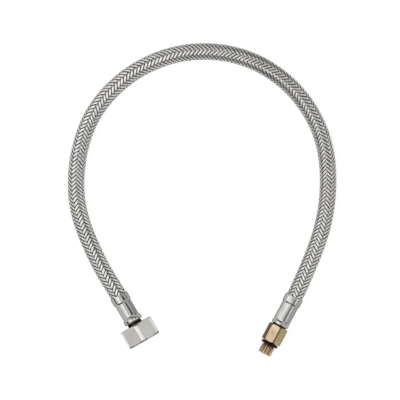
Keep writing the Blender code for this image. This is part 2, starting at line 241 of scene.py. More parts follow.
def mesh_of(name, patches, sharp_angle=32.0, painted_light_and_wear=None):
    """One smooth mesh of several grids, each (points, faces), welded where they meet.

    The last argument gives the value of the vertex attribute of its own name for an array of points in mm: where
    painted highlights, painted shade and painted dark reflections go, and where the nut is rubbed.
    """
    bm = bmesh.new()
    layer = bm.verts.layers.float.new("painted_light_and_wear") if painted_light_and_wear else None
    for points, faces in patches:
        verts = [bm.verts.new(point) for point in points.reshape(-1, 3) * MM]
        if painted_light_and_wear:
            for vert, value in zip(verts, painted_light_and_wear(points.reshape(-1, 3))):
                vert[layer] = value
        for face in faces:
            bm.faces.new([verts[i] for i in face])
    bmesh.ops.remove_doubles(bm, verts=bm.verts, dist=2e-7)
    bmesh.ops.dissolve_degenerate(bm, edges=bm.edges, dist=2e-7)
    bmesh.ops.recalc_face_normals(bm, faces=bm.faces)
    mesh = bpy.data.meshes.new(name)
    bm.to_mesh(mesh)
    bm.free()
    mesh.shade_smooth()
    mesh.set_sharp_from_angle(angle=math.radians(sharp_angle))
    return mesh


def end_matrix(at, heading):
    """Frame of an end piece: its Z axis runs out along the heading and its Y axis points up."""
    ahead = along(heading)
    columns = ((-ahead[1], ahead[0], 0.0), (0.0, 0.0, 1.0), ahead)
    matrix = Matrix.Identity(4)
    for c, column in enumerate(columns):
        for r in range(3):
            matrix[r][c] = column[r]
        matrix[c][3] = at[c] * MM
    return matrix


NUT_FRAME = end_matrix(NUT_END, NUT_HEADING)
SPIGOT_FRAME = end_matrix(SPIGOT_END, SPIGOT_HEADING)


def place(name, mesh, material, body, slot, matrix=None, node=None):
    """Adds a piece that rides on a body, stands for a node and takes the given material; its slot is not used."""
    obj = bpy.data.objects.new(name, mesh)
    bpy.context.scene.collection.objects.link(obj)
    if matrix is not None:
        obj.matrix_world = matrix
    mesh.materials.append(material)
    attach(obj, body)
    if node:
        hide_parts(node)
    return obj


def rounded(corners, steps=3):
    """Closed outline whose corners, each (x, y, fillet), are rounded. A corner without a fillet stays one point."""
    outline = []
    count = len(corners)
    for i, (x, y, fillet) in enumerate(corners):
        if fillet <= 0:
            outline.append((x, y))
            continue
        here = np.array((x, y))
        to_before = np.array(corners[i - 1][:2]) - here
        to_after = np.array(corners[(i + 1) % count][:2]) - here
        room = 0.48 * min(np.linalg.norm(to_before), np.linalg.norm(to_after))
        to_before = to_before / max(np.linalg.norm(to_before), 1e-9)
        to_after = to_after / max(np.linalg.norm(to_after), 1e-9)
        half = math.acos(max(-0.9999, min(0.9999, float(to_before @ to_after)))) / 2
        reach = min(fillet / math.tan(half), room)
        radius = reach * math.tan(half)
        inward = to_before + to_after
        centre = here + inward / max(np.linalg.norm(inward), 1e-9) * radius / math.sin(half)
        first, last = here + to_before * reach - centre, here + to_after * reach - centre
        turn = math.pi - 2 * half
        for k in range(steps + 1):
            share = k / steps
            if turn < 1e-3:
                outline.append(tuple(centre + first + (last - first) * share))
                continue
            a, b = math.sin((1 - share) * turn), math.sin(share * turn)
            outline.append(tuple(centre + (first * a + last * b) / math.sin(turn)))
    return outline


def lofted(angles, outlines, closed=True):
    """Grid of a body whose outline (radius, z) may differ at each angle round its axis."""
    outlines = np.array(outlines)
    cos, sin = np.cos(angles), np.sin(angles)
    radius, height = outlines[..., 0].T, outlines[..., 1].T
    points = np.stack([radius * cos, radius * sin, height], axis=-1)
    return points, grid_faces(points.shape[0], points.shape[1], wrap_rows=closed)


def turned(corners, columns=96, steps=3):
    """Grid of a round body from the corners of its outline, each (radius, z, fillet)."""
    angles = np.arange(columns) * 2 * math.pi / columns
    return lofted(angles, [rounded(corners, steps)] * columns)


def hexagon_columns(across_flats, corner_flat, fillet, first_corner, pieces=12):
    """Distances and angles round a hexagon with cut and rounded corners, anticlockwise."""
    distance = across_flats / math.sqrt(3) - corner_flat / 2 / math.tan(math.radians(60))
    corners = []
    for k in range(6):
        angle = math.radians(first_corner + 60 * k)
        out = np.array((math.cos(angle), math.sin(angle)))
        side = np.array((-math.sin(angle), math.cos(angle)))
        for half in (-corner_flat / 2, corner_flat / 2):
            corners.append((*(out * distance + side * half), fillet))
    steps = 4
    arcs = np.array(rounded(corners, steps)).reshape(12, steps + 1, 2)
    points = []
    for i, arc in enumerate(arcs):
        points += list(arc)
        following = arcs[(i + 1) % 12][0]
        cuts = 1 if i % 2 == 0 else pieces
        for k in range(1, cuts):
            points.append(arc[-1] + (following - arc[-1]) * k / cuts)
    points = np.array(points)
    angles = np.unwrap(np.arctan2(points[:, 1], points[:, 0]))
    return np.hypot(points[:, 0], points[:, 1]), angles


def threaded(angles, start, end, pitch, shape, limit):
    """Grid of a right-hand thread from start to end. shape lists (share of a turn, radius), limit clips it."""
    rows = []
    turns = math.ceil((end - start) / pitch) + 2
    for turn in range(-1, turns):
        for share, radius in shape:
            rows.append((start + (turn + share) * pitch, radius))
    base = np.array([z for z, _ in rows])[:, None]
    radius = np.array([r for _, r in rows])[:, None] + 0 * angles[None]
    height = base + pitch * ((angles - angles[0]) / (2 * math.pi))[None]
    radius = limit(radius, height)
    radius = np.where(height <= start, limit.ends[0], radius)
    radius = np.where(height >= end, limit.ends[1], radius)
    height = np.clip(height, start, end)
    points = np.stack([radius * np.cos(angles), radius * np.sin(angles), height], axis=-1)
    return points, grid_faces(points.shape[0], points.shape[1], shift=len(shape))


# Materials


class Nodes:
    """A material's node tree, with short calls for the nodes used here."""

    def __init__(self, name):
        self.material = bpy.data.materials.new(name)
        self.material.use_nodes = True
        self.tree = self.material.node_tree
        self.shader = self.tree.nodes["Principled BSDF"]

    def add(self, kind, **settings):
        node = self.tree.nodes.new(kind)
        for key, value in settings.items():
            setattr(node, key, value)
        return node

    def link(self, source, target):
        self.tree.links.new(source, target)

    def coordinates(self, scale):
        mapping = self.add("ShaderNodeMapping")
        mapping.inputs["Scale"].default_value = scale
        self.link(self.add("ShaderNodeTexCoord").outputs["Object"], mapping.inputs["Vector"])
        return mapping.outputs["Vector"]

    def noise(self, scale, detail=3.0, roughness=0.55):
        """Noise whose grains are 1 / scale metres long along each axis."""
        node = self.add("ShaderNodeTexNoise")
        node.inputs["Scale"].default_value = 1.0
        node.inputs["Detail"].default_value = detail
        node.inputs["Roughness"].default_value = roughness
        self.link(self.coordinates(scale), node.inputs["Vector"])
        return node.outputs["Fac"]

    def spread(self, value, low, high, from_low=0.3, from_high=0.7):
        node = self.add("ShaderNodeMapRange")
        node.inputs["From Min"].default_value = from_low
        node.inputs["From Max"].default_value = from_high
        node.inputs["To Min"].default_value = low
        node.inputs["To Max"].default_value = high
        self.link(value, node.inputs["Value"])
        return node.outputs["Result"]

    def colours(self, value, stops):
        node = self.add("ShaderNodeValToRGB")
        ramp = node.color_ramp
        while len(ramp.elements) < len(stops):
            ramp.elements.new(0.5)
        for element, (position, colour) in zip(ramp.elements, stops):
            element.position = position
            element.color = (*colour, 1.0)
        self.link(value, node.inputs["Fac"])
        return node.outputs["Color"]

    def blend(self, mode, share, first, second):
        node = self.add("ShaderNodeMix", data_type="RGBA", blend_type=mode)
        for socket, value in ((node.inputs[0], share), (node.inputs[6], first), (node.inputs[7], second)):
            if isinstance(value, (int, float)):
                socket.default_value = value
            elif isinstance(value, tuple):
                socket.default_value = (*value, 1.0)
            else:
                self.link(value, socket)
        return node.outputs[2]

    def bump(self, height, distance, strength=1.0, after=None):
        node = self.add("ShaderNodeBump")
        node.inputs["Strength"].default_value = strength
        node.inputs["Distance"].default_value = distance
        self.link(height, node.inputs["Height"])
        if after is not None:
            self.link(after, node.inputs["Normal"])
        return node.outputs["Normal"]

    def finish(self, colour, roughness, metallic, normal=None, edge=0.3):
        self.link(colour, self.shader.inputs["Base Color"])
        self.link(roughness, self.shader.inputs["Roughness"])
        self.shader.inputs["Metallic"].default_value = metallic
        if metallic:
            self.shader.inputs["Specular Tint"].default_value = (edge, edge, edge, 1.0)
        if normal is not None:
            self.link(normal, self.shader.inputs["Normal"])
        return self.material


def wire_steel():
    """Bright drawn wire, with shade painted dark down between the wires, along the strands' edges and where a strand
    dives under.
    """
    n = Nodes("wire_steel")
    shade_openness = n.add("ShaderNodeAttribute", attribute_name="openness").outputs["Fac"]
    # Painted shade: the openness attribute darkens the colour down to near black in the valleys between wires, at the
    # strands' edges and under the crossings.
    body = n.colours(
        shade_openness,
        [
            (0.0, (0.02, 0.019, 0.018)), (0.3, (0.17, 0.167, 0.16)),
            (0.62, (0.80, 0.79, 0.775)), (1.0, (0.94, 0.93, 0.915)),
        ],
    )
    tint = n.colours(n.noise((90, 90, 90)), [(0.35, (0.90, 0.91, 0.93)), (0.65, (1.0, 0.985, 0.955))])
    fine = n.noise((2500, 2500, 2500), detail=2.0)
    rough = n.spread(fine, 0.17, 0.30)
    return n.finish(n.blend("MULTIPLY", 1.0, body, tint), rough, 1.0)


def ferrule_steel():
    """Pressed stainless strip: faint draw lines along it and small scuffs."""
    n = Nodes("ferrule_steel")
    lines = n.noise((4200, 4200, 90), detail=4.0)
    scuffs = n.noise((420, 420, 300), detail=5.0, roughness=0.65)
    colour = n.colours(scuffs, [(0.30, (0.43, 0.425, 0.415)), (0.62, (0.50, 0.495, 0.485))])
    rough = n.spread(scuffs, 0.10, 0.18)
    normal = n.bump(lines, 0.000006, after=n.bump(scuffs, 0.00001))
    return n.finish(colour, rough, 1.0, normal, edge=0.1)


def satin_nickel():
    """Satin plate over tumbled brass: a fine even grain, a painted highlight on the rubbed corners and painted shade
    in broken streaks round the mouth.
    """
    n = Nodes("satin_nickel")
    grain = n.noise((3200, 3200, 3200), detail=3.0)
    cloud = n.noise((160, 160, 120), detail=3.0)
    painted_light_and_wear = n.add("ShaderNodeAttribute", attribute_name="painted_light_and_wear").outputs["Fac"]
    plate = n.colours(cloud, [(0.32, (0.75, 0.74, 0.69)), (0.68, (0.81, 0.80, 0.755))])
    # Painted highlight: the rounded corners of the hexagon are painted near white; they are also rubbed smoother
    # below.
    bright = n.blend("MIX", n.spread(painted_light_and_wear, 0.0, 1.0, 0.0, 1.0), plate, (0.93, 0.93, 0.92))
    # Painted shade: the chamfer round the mouth is painted nearly black, broken into streaks by noise.
    broken_shade = n.spread(n.noise((520, 520, 60), detail=4.0), 0.35, 1.0, 0.35, 0.62)
    painted_streaks = n.add("ShaderNodeMath", operation="MULTIPLY")
    n.link(n.spread(painted_light_and_wear, 1.0, 0.0, -1.0, 0.0), painted_streaks.inputs[0])
    n.link(broken_shade, painted_streaks.inputs[1])
    colour = n.blend("MIX", painted_streaks.outputs[0], bright, (0.05, 0.048, 0.04))
    rubbed = n.add("ShaderNodeMath", operation="ADD")
    n.link(n.spread(grain, 0.30, 0.42), rubbed.inputs[0])
    n.link(n.spread(painted_light_and_wear, 0.0, -0.08, 0.0, 1.0), rubbed.inputs[1])
    return n.finish(colour, rubbed.outputs[0], 1.0, n.bump(grain, 0.00002, 0.8))


def turned_brass(name, shaded_gap_end):
    """Bare brass with turning marks and patchy tarnish, painted shade in the gap behind the ferrule, a painted dark
    reflection along the hexagon's corners, a painted reflection tint from side to side and a thread painted in dark
    and bright streaks of reflection.

    The last argument, where the painted shade in the gap behind the ferrule ends, is in metres along the piece's axis,
    as the other places in this material are.
    """
    n = Nodes(name)
    patches = n.noise((260, 260, 200), detail=4.0)
    streaks = n.noise((900, 900, 45), detail=3.0)
    marks = n.noise((60, 60, 5200), detail=2.0)
    body = n.colours(
        patches, [(0.30, (0.41, 0.32, 0.20)), (0.55, (0.51, 0.41, 0.285)), (0.75, (0.55, 0.46, 0.34))]
    )
    painted_streaks = n.colours(
        streaks, [(0.40, (0.22, 0.13, 0.06)), (0.49, (0.66, 0.46, 0.27)), (0.60, (1.0, 0.93, 0.76))]
    )
    edges = n.add("ShaderNodeAttribute", attribute_name="painted_light_and_wear").outputs["Fac"]
    place_on_part = n.add("ShaderNodeSeparateXYZ")
    n.link(n.coordinates((1, 1, 1)), place_on_part.inputs[0])
    # Painted reflection tint: the side towards -X is painted pinkish and the side towards +X olive.
    side = n.spread(place_on_part.outputs["X"], 0.0, 1.0, -0.006, 0.006)
    tint = n.colours(side, [(0.2, (1.0, 0.96, 0.98)), (0.8, (0.95, 1.0, 0.86))])
    # Painted reflection: the thread is painted in dark and bright streaks along it.
    on_thread = n.spread(place_on_part.outputs["Z"], 0.0, 1.0, 0.0385, 0.0395)
    colour = n.blend("MIX", on_thread, n.blend("MULTIPLY", 1.0, body, tint), painted_streaks)
    # Painted shade: the shank in the gap behind the ferrule is painted nearly black, up to the given end.
    begins = n.spread(place_on_part.outputs["Z"], 0.0, 1.0, 0.0215, 0.0222)
    ends = n.spread(place_on_part.outputs["Z"], 1.0, 0.0, shaded_gap_end - 0.0001, shaded_gap_end)
    gap_shade = n.add("ShaderNodeMath", operation="MULTIPLY")
    n.link(begins, gap_shade.inputs[0])
    n.link(ends, gap_shade.inputs[1])
    # Painted dark reflection: the hexagon's corners are painted dark brown.
    colour = n.blend("MIX", n.spread(edges, 0.0, 0.88, 0.0, 1.0), colour, (0.08, 0.058, 0.022))
    colour = n.blend("MIX", gap_shade.outputs[0], colour, (0.02, 0.017, 0.013))
    rough = n.spread(patches, 0.32, 0.22)
    return n.finish(colour, rough, 1.0, n.bump(marks, 0.000012), edge=0.1)


def seal_rubber():
    """Moulded black rubber with a faint bloom."""
    n = Nodes("seal_rubber")
    bloom = n.noise((700, 700, 700), detail=4.0)
    colour = n.colours(bloom, [(0.35, (0.006, 0.0045, 0.0035)), (0.75, (0.016, 0.013, 0.010))])
    n.shader.inputs["Specular IOR Level"].default_value = 0.15
    return n.finish(colour, n.spread(bloom, 0.34, 0.52), 0.0, n.bump(bloom, 0.00002))


def liner_rubber():
    """Dull black hose rubber under the wires."""
    n = Nodes("liner_rubber")
    dust = n.noise((1200, 1200, 1200), detail=3.0)
    colour = n.colours(dust, [(0.35, (0.018, 0.018, 0.018)), (0.75, (0.045, 0.044, 0.042))])
    return n.finish(colour, n.spread(dust, 0.5, 0.7), 0.0)


WIRE_STEEL = wire_steel()
FERRULE_STEEL = ferrule_steel()
SATIN_NICKEL = satin_nickel()
TAIL_BRASS = turned_brass("tail_brass", 0.0270)
SPIGOT_BRASS = turned_brass("spigot_brass", 0.0239)
SEAL_RUBBER = seal_rubber()
LINER_RUBBER = liner_rubber()


# Hose


def strand_profile():
    """Across one strand: offsets in crossings, heights in mm, openness that sets the painted shade, and which points
    are valleys.
    """
    pitch = STRAND_WIDTH / WIRES
    offsets, heights, openness, valleys = [-STRAND_WIDTH / 2], [STRAND_EDGE], [0.0], []
    for k in range(WIRES):
        offsets.append((k + 0.5) * pitch - STRAND_WIDTH / 2)
        heights.append(WIRE_TOP)
        # Painted shade: the outermost wires and the valleys between wires are painted darker, and the strand's edges
        # black.
        openness.append((0.50, 0.95, 1.0)[min(k, WIRES - 1 - k, 2)])
        if k < WIRES - 1:
            valleys.append(len(offsets))
            offsets.append((k + 1) * pitch - STRAND_WIDTH / 2)
            heights.append(WIRE_VALLEY)
            openness.append(0.60)
    offsets.append(STRAND_WIDTH / 2)
    heights.append(STRAND_EDGE)
    openness.append(0.0)
    return np.array(offsets), np.array(heights), np.array(openness), valleys


def strand_rows(first, last, over_first):
    """Where a strand is sampled between two crossings, counted in crossings, and how high it is there.

    It is over three crossings from over_first to over_first + 3, under the next three, and so on.
    """
    marks = [
        (-1.5, -1.0), (-0.7, -1.0), (-0.15, -0.92), (0.15, 0.92), (0.7, 1.0),
        (1.5, 1.0), (2.3, 1.0), (2.85, 0.92), (3.15, -0.92), (3.7, -1.0),
    ]
    places, heights = [], []
    for turn in range(math.floor((first - over_first) / 6) - 1, math.ceil((last - over_first) / 6) + 1):
        for place_in_turn, height in marks:
            place = over_first + 6 * turn + place_in_turn
            if first <= place <= last:
                places.append(place)
                heights.append(height)
    return np.array(places), np.array(heights)


def woven_strands(name, way):
    """All strands that wind one way: way 1 turns right along the hose, way -1 turns left."""
    offsets, heights, openness, valleys = strand_profile()
    columns = len(offsets)
    turn = np.array(WEAVE_TURN, float)
    half = STRAND_STEP / 2
    rng = np.random.default_rng(11 if way > 0 else 23)
    points, shade, faces, uvs, sharp = [], [], [], [], []
    first_row = 0
    chunks = 8
    for strand in range(STRANDS):
        own = strand + 0.25
        # Counted in crossings, the two families' numbers add up to the angle and differ by the distance.
        from_other = own + way * -BRAID_INSERTION / half
        to_other = own + way * (route.length + BRAID_INSERTION) / half
        low, high = sorted((own + from_other, own + to_other))
        places, levels = strand_rows(low, high, 1.0 if way > 0 else -2.0)
        waves = rng.uniform(0, 2 * math.pi, 6)
        drift = 0.020 * np.sin(places / 7.3 + waves[0]) + 0.016 * np.sin(places / 3.1 + waves[1])
        lift = 0.012 * np.sin(places / 5.7 + waves[2]) + 0.010 * np.sin(places / 2.3 + waves[3])
        squeeze = 1 + 0.035 * np.sin(places / 4.9 + waves[4]) + 0.02 * np.sin(places / 1.9 + waves[5])
        mine = own + drift[:, None] + offsets[None] * squeeze[:, None]
        other = (places - own)[:, None] + 0 * mine
        distance = half * (other - mine) * way
        angle = np.radians(180 / STRANDS * (mine + other) + np.interp(distance, turn[:, 0], turn[:, 1]))
        radius = WEAVE_RADIUS + (WEAVE_RISE * levels + lift)[:, None] + heights[None]
        block = route.around(distance, angle, radius)
        rows = len(places)
        points.append(block.reshape(-1, 3))
        # Painted shade: a strand is painted darker where it dives under the crossing strands.
        under = np.interp(levels, (-1.0, -0.92, 0.92, 1.0), (0.22, 0.45, 0.85, 1.0))[:, None]
        shade.append((openness[None] * under).ravel())
        index = first_row + np.arange(rows * columns).reshape(rows, columns)
        quads = np.stack([index[:-1, :-1], index[:-1, 1:], index[1:, 1:], index[1:, :-1]], axis=-1).reshape(-1, 4)
        faces.append(quads if way > 0 else quads[:, ::-1])
        span = math.ceil((rows - 1) / chunks)
        r, c = np.divmod(np.arange((rows - 1) * (columns - 1)), columns - 1)
        chunk = r // span
        u0, u1 = (r - chunk * span) / span, (r - chunk * span + 1) / span
        lane = strand * chunks + chunk
        v0 = (lane + 0.1 + 0.8 * c / (columns - 1)) / (STRANDS * chunks)
        v1 = (lane + 0.1 + 0.8 * (c + 1) / (columns - 1)) / (STRANDS * chunks)
        u0, u1 = 0.004 + 0.992 * u0, 0.004 + 0.992 * u1
        corner_uvs = np.stack(
            [np.stack(pair, -1) for pair in ((u0, v0), (u0, v1), (u1, v1), (u1, v0))], axis=1
        )
        uvs.append(corner_uvs if way > 0 else corner_uvs[:, ::-1])
        first_row += rows * columns
    points, faces = np.concatenate(points) * MM, np.concatenate(faces)
    mesh = bpy.data.meshes.new(name)
    mesh.vertices.add(len(points))
    mesh.vertices.foreach_set("co", points.astype(np.float32).ravel())
    mesh.loops.add(faces.size)
    mesh.loops.foreach_set("vertex_index", faces.astype(np.int32).ravel())
    mesh.polygons.add(len(faces))
    mesh.polygons.foreach_set("loop_start", np.arange(0, faces.size, 4, dtype=np.int32))
    mesh.update(calc_edges=True)
    mesh.validate()
    mesh.shade_smooth()
    layer = mesh.uv_layers.new(name="OFBake")
    layer.data.foreach_set("uv", np.concatenate(uvs).astype(np.float32).ravel())
    attribute = mesh.attributes.new("openness", "FLOAT", "POINT")
    attribute.data.foreach_set("value", np.concatenate(shade).astype(np.float32))
    ends = np.zeros(len(mesh.edges) * 2, np.int32)
    mesh.edges.foreach_get("vertices", ends)
    ends = ends.reshape(-1, 2)
    lengthwise = np.abs(ends[:, 0] - ends[:, 1]) == columns
    crease = lengthwise & np.isin(ends[:, 0] % columns, valleys)
    mesh.attributes.new("sharp_edge", "BOOLEAN", "EDGE").data.foreach_set("value", crease)
    return mesh


def liner_tube():
    """Rubber tube inside the weave, reaching deep into both ferrules."""
    columns = 40
    angle = np.arange(columns) * 2 * math.pi / columns
    places = np.arange(-LINER_INSERTION, route.length + LINER_INSERTION, 2.5)
    places = np.append(places, route.length + LINER_INSERTION)
    rows = []
    for radius, order in ((LINER_OUTSIDE, places), (LINER_BORE, places[::-1])):
        distance = order[:, None] + 0 * angle[None]
        rows.append(route.around(distance, 0 * distance + angle[None], 0 * distance + radius))
    points = np.concatenate(rows)
    return mesh_of("liner_tube", [(points, grid_faces(points.shape[0], columns, wrap_rows=True))])


braid_right = place(
    "braid_right", woven_strands("braid_right", 1), WIRE_STEEL, "hose", "braid_steel", node="wire_braid"
)
braid_left = place("braid_left", woven_strands("braid_left", -1), WIRE_STEEL, "hose", "braid_steel")
liner = place("liner_tube", liner_tube(), LINER_RUBBER, "hose", "liner_rubber", node="hose_liner")


# Ferrules


def ferrule_mesh(name, rim_radius, turn, rim_start, end):
    """A steel cup: an eight-sided collar over the weave, a crimped waist, a round rim and a floor with a hole."""
    half_step = 180 / JAWS
    offs = [-22.5, -22.1, -21.6, -20.9, -20.0, -18.5, -16.0, -13.0, -10.0, -6.5, -3.0]
    offs += [0.0] + [-x for x in reversed(offs[1:])]
    wall = FERRULE_WALL
    groove, waist_end = rim_start - GROOVE_BEFORE_RIM, rim_start - WAIST_BEFORE_RIM
    angles, outlines = [], []
    for jaw in range(JAWS):
        for off in offs:
            angles.append(math.radians(turn + 2 * half_step * jaw + off))
            ridge = (abs(off) / half_step) ** 4
            collar = COLLAR_RADIUS + COLLAR_RIDGE * ridge
            waist = WAIST_RADIUS + WAIST_RIDGE * ridge
            outside = [
                (collar, 0.0, 0.12),
                (collar, COLLAR_END, 0.5),
                (waist, WAIST_START, 0.6),
                (waist, waist_end, 0.5),
                (waist - GROOVE_DEPTH, groove, 0.35),
                (rim_radius, rim_start, 0.6),
                (rim_radius, end, 0.9),
                (FERRULE_HOLE, end, 0.1),
                (FERRULE_HOLE, end - wall, 0.1),
                (rim_radius - wall, end - wall, 0.6),
                (rim_radius - wall, rim_start, 0.6),
                (waist - GROOVE_DEPTH - wall, groove, 0.3),
                (waist - wall, waist_end, 0.4),
                (waist - wall, WAIST_START, 0.4),
                (collar - wall, COLLAR_END, 0.4),
                (collar - wall, 0.0, 0.12),
            ]
            outlines.append(rounded(outside, steps=4))
    angles = math.pi / 2 - np.array(angles)
    return mesh_of(name, [lofted(angles, outlines)], sharp_angle=40)


place(
    "nut_ferrule_shell",
    ferrule_mesh("nut_ferrule_shell", rim_radius=6.85, turn=-10.5, rim_start=19.0, end=21.8),
    FERRULE_STEEL, "hose", "ferrule_steel", matrix=NUT_FRAME, node="nut_ferrule",
)
spigot_ferrule = place(
    "spigot_ferrule_shell",
    ferrule_mesh("spigot_ferrule_shell", rim_radius=6.35, turn=-18.5, rim_start=20.8, end=23.2),
    FERRULE_STEEL, "hose", "ferrule_steel", matrix=SPIGOT_FRAME, node="spigot_ferrule",
)


# Barbed tails


def barb_corners(shoulder):
    """Outline of the barbs from the tail's end up to the shoulder."""
    corners = []
    for i in range(BARBS):
        start = BARB_START + i * BARB_PITCH
        corners.append((BARB_LOW, start, 0.0))
        corners.append((BARB_HIGH, start + BARB_LENGTH, 0.05))
    corners.append((BARB_HIGH, shoulder, 0.1))
    return corners


def nut_tail_mesh():
    corners = barb_corners(NUT_TAIL_SHOULDER) + [
        (SHANK_RADIUS, NUT_TAIL_SHOULDER, 0.15), (SHANK_RADIUS, FLANGE_START, 0.1),
        (FLANGE_RADIUS, FLANGE_START, 0.2), (FLANGE_RADIUS, FLANGE_END, 0.25),
        (BORE, FLANGE_END, 0.3), (BORE, BARB_START, 0.0),
    ]
    return mesh_of("nut_tail_body", [turned(corners)])


place("nut_tail_body", nut_tail_mesh(), TAIL_BRASS, "hose", "brass", matrix=NUT_FRAME, node="nut_tail")


# Swivel nut and washer


class Limit:
    """Clips a thread's radius with cones, and says its radius at the two ends."""

    def __init__(self, rule, start_radius, end_radius):
        self.rule = rule
        self.ends = (start_radius, end_radius)

    def __call__(self, radius, height):
        return self.rule(radius, height)


def from_corner(points, first_corner):
    """Degrees from the nearest corner of a hexagon, measured round its axis."""
    turn = np.degrees(np.arctan2(points[:, 1], points[:, 0])) - first_corner
    return np.abs((turn + 30) % 60 - 30)


def swivel_nut_mesh():
    """Hexagon with cut corners and chamfered ends, a back wall and a half-inch pipe thread inside."""
    distances, angles = hexagon_columns(NUT_ACROSS_FLATS, NUT_CORNER_FLAT, NUT_CORNER_FILLET, NUT_FIRST_CORNER)
    edge_row = 0.7
    outlines = []
    for distance in distances:
        rise = (distance - NUT_FACE_RADIUS) * CHAMFER_SLOPE
        corners = [
            (NUT_THREAD_ROOT, NUT_THREAD_END, 0.0),
            (NUT_THREAD_ROOT, NUT_SHOULDER, 0.3),
            (NUT_HOLE, NUT_SHOULDER, 0.15),
            (NUT_HOLE, NUT_BACK, 0.2),
            (NUT_FACE_RADIUS, NUT_BACK, 0.12),
            (distance, NUT_BACK + rise, 0.22),
            (distance, NUT_BACK + rise + edge_row, 0.0),
            (distance, NUT_MOUTH - rise - edge_row, 0.0),
            (distance, NUT_MOUTH - rise, 0.22),
            (NUT_FACE_RADIUS, NUT_MOUTH, 0.12),
            (NUT_ENTRY, NUT_MOUTH, 0.0),
        ]
        outlines.append(rounded(corners))
    body = lofted(angles, outlines, closed=False)

    def rule(radius, height):
        """The thread grows out of its root over its first 0.7 mm and ends in the entry's cone."""
        run_out = np.clip((height - NUT_THREAD_END) / 0.7, 0, 1)
        radius = NUT_THREAD_ROOT + (radius - NUT_THREAD_ROOT) * run_out * run_out * (3 - 2 * run_out)
        return np.maximum(radius, NUT_ENTRY - (NUT_MOUTH - height))

    shape = [
        (0.0, 10.48), (0.1, 10.45), (0.16, 10.28), (0.36, 9.56), (0.42, 9.40), (0.5, 9.35),
        (0.58, 9.40), (0.64, 9.56), (0.84, 10.28), (0.9, 10.45),
    ]
    limit = Limit(rule, NUT_THREAD_ROOT, NUT_ENTRY)
    thread = threaded(angles, NUT_THREAD_END, NUT_MOUTH, NUT_THREAD_PITCH, shape, limit)

    def painted_light_and_wear(points):
        """1 on the rounded corners of the hexagon, where a highlight is painted, and below 0 on the chamfer at the
        mouth, where shade is painted.
        """
        radius = np.hypot(points[:, 0], points[:, 1])
        corner = np.clip(1 - np.abs(from_corner(points, NUT_FIRST_CORNER) - 4.4) / 1.6, 0, 1)
        outside = (radius > 11.3) & (points[:, 2] > NUT_BACK + 0.05)
        edge_height = NUT_MOUTH - (radius - NUT_FACE_RADIUS) * CHAMFER_SLOPE
        mouth_rim = np.clip((points[:, 2] - (edge_height - 0.35)) / 0.3, 0, 1)
        return np.where(outside, np.where(mouth_rim > 0, -mouth_rim, corner), 0.0)

    return mesh_of("swivel_nut_body", [body, thread], sharp_angle=38, painted_light_and_wear=painted_light_and_wear)


def washer_mesh():
    (inner, outer), (low, high) = WASHER_RADII, WASHER_FACES
    corners = [(*corner, WASHER_FILLET) for corner in ((inner, low), (outer, low), (outer, high), (inner, high))]
    return mesh_of("washer_ring", [turned(corners, steps=4)])


place("swivel_nut_body", swivel_nut_mesh(), SATIN_NICKEL, "nut", "satin_nickel", matrix=NUT_FRAME, node="swivel_nut")
place("washer_ring", washer_mesh(), SEAL_RUBBER, "nut", "seal_rubber", matrix=NUT_FRAME, node="sealing_washer")


# Spigot fitting and O-ring


def spigot_mesh():
    """Barbed tail, hexagon, O-ring seat and an M10 x 1 thread, with a bore through it all."""
    distances, angles = hexagon_columns(HEX_ACROSS_FLATS, HEX_CORNER_FLAT, HEX_CORNER_FILLET, HEX_FIRST_CORNER)
    edge_row = 0.5
    outlines = []
    for distance in distances:
        rise = (distance - HEX_FACE_RADIUS) * CHAMFER_SLOPE
        corners = [
            (TIP_RADIUS, SPIGOT_TIP, 0.0),
            (BORE, SPIGOT_TIP, 0.15),
            (BORE, BARB_START, 0.0),
            *barb_corners(SPIGOT_SHOULDER),
            (SHANK_RADIUS, SPIGOT_SHOULDER, 0.15),
            (SHANK_RADIUS, HEX_BACK, 0.0),
            (HEX_FACE_RADIUS, HEX_BACK, 0.06),
            (distance, HEX_BACK + rise, 0.12),
            (distance, HEX_BACK + rise + edge_row, 0.0),
            (distance, HEX_FRONT - rise - edge_row, 0.0),
            (distance, HEX_FRONT - rise, 0.12),
            (HEX_FACE_RADIUS, HEX_FRONT, 0.06),
            (SEAT_RADIUS, HEX_FRONT, 0.15),
            (SEAT_RADIUS, SEAT_END, 0.15),
            (THREAD_LEAD_RADIUS, SEAT_END, 0.0),
        ]
        outlines.append(rounded(corners))
    body = lofted(angles, outlines, closed=False)

    def rule(radius, height):
        """Cones of 45 degrees cut both ends of the thread."""
        radius = np.minimum(radius, THREAD_LEAD_RADIUS + (height - SEAT_END))
        return np.minimum(radius, TIP_RADIUS + (SPIGOT_TIP - height))

    shape = [(0.0, 5.0), (0.07, 4.97), (0.36, 4.46), (0.44, 4.40), (0.56, 4.40), (0.64, 4.46), (0.93, 4.97)]
    limit = Limit(rule, THREAD_LEAD_RADIUS, TIP_RADIUS)
    thread = threaded(angles, SEAT_END, SPIGOT_TIP, SPIGOT_THREAD_PITCH, shape, limit)

    def painted_light_and_wear(points):
        """1 along the corners of the hexagon, where a dark reflection is painted."""
        radius, height = np.hypot(points[:, 0], points[:, 1]), points[:, 2]
        on_hexagon = (height > HEX_BACK + 0.3) & (height < HEX_FRONT - 0.3) & (radius > 6.3)
        return np.where(on_hexagon, np.clip((4.5 - from_corner(points, HEX_FIRST_CORNER)) / 1.5, 0, 1), 0.0)

    return mesh_of("spigot_body", [body, thread], sharp_angle=38, painted_light_and_wear=painted_light_and_wear)


def o_ring_mesh():
    ring = [
        (O_RING_RADIUS + O_RING_SECTION * math.cos(a), O_RING_PLACE + O_RING_SECTION * math.sin(a))
        for a in np.arange(28) * 2 * math.pi / 28
    ]
    angles = np.arange(96) * 2 * math.pi / 96
    return mesh_of("o_ring", [lofted(angles, [ring] * 96)])


spigot = place("spigot_body", spigot_mesh(), SPIGOT_BRASS, "hose", "brass", matrix=SPIGOT_FRAME, node="spigot_fitting")
o_ring = place("o_ring", o_ring_mesh(), SEAL_RUBBER, "hose", "seal_rubber", matrix=SPIGOT_FRAME, node="spigot_o_ring")
